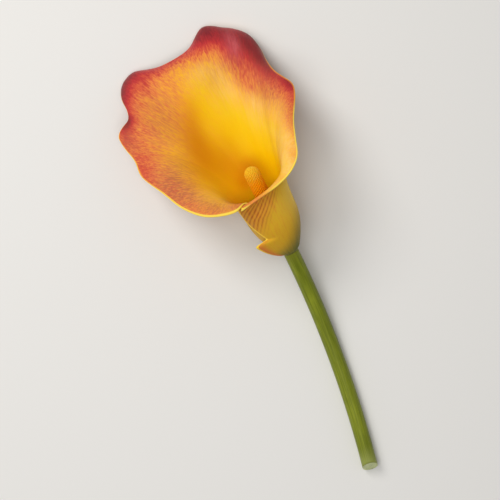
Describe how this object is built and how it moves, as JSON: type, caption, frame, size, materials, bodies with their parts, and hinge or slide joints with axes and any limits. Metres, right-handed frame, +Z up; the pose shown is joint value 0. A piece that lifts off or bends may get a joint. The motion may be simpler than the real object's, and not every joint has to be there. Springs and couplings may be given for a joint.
{
  "type": "arum lily flower",
  "caption": "Single arum lily bloom on a cut stem, lying on its back: a funnel-shaped spathe with a waved rim rolled round a finger-like spadix.",
  "frame": {"origin": "centre of the flower's bounding box in plan, on the surface that it lies on", "axes": "+Z up from the surface, +Y from the cut end of the stem to the far lobe of the bloom, +X to the right of the open face seen from above"},
  "size_m": [0.0938, 0.2514, 0.0534],
  "materials": {
    "spathe": "waxy satin",
    "spadix": "grainy matte",
    "stem": "satin"
  },
  "bodies": {
    "root": {"spathe": "spathe", "spadix": "spadix", "stem": "stem"}
  },
  "joints": []
}
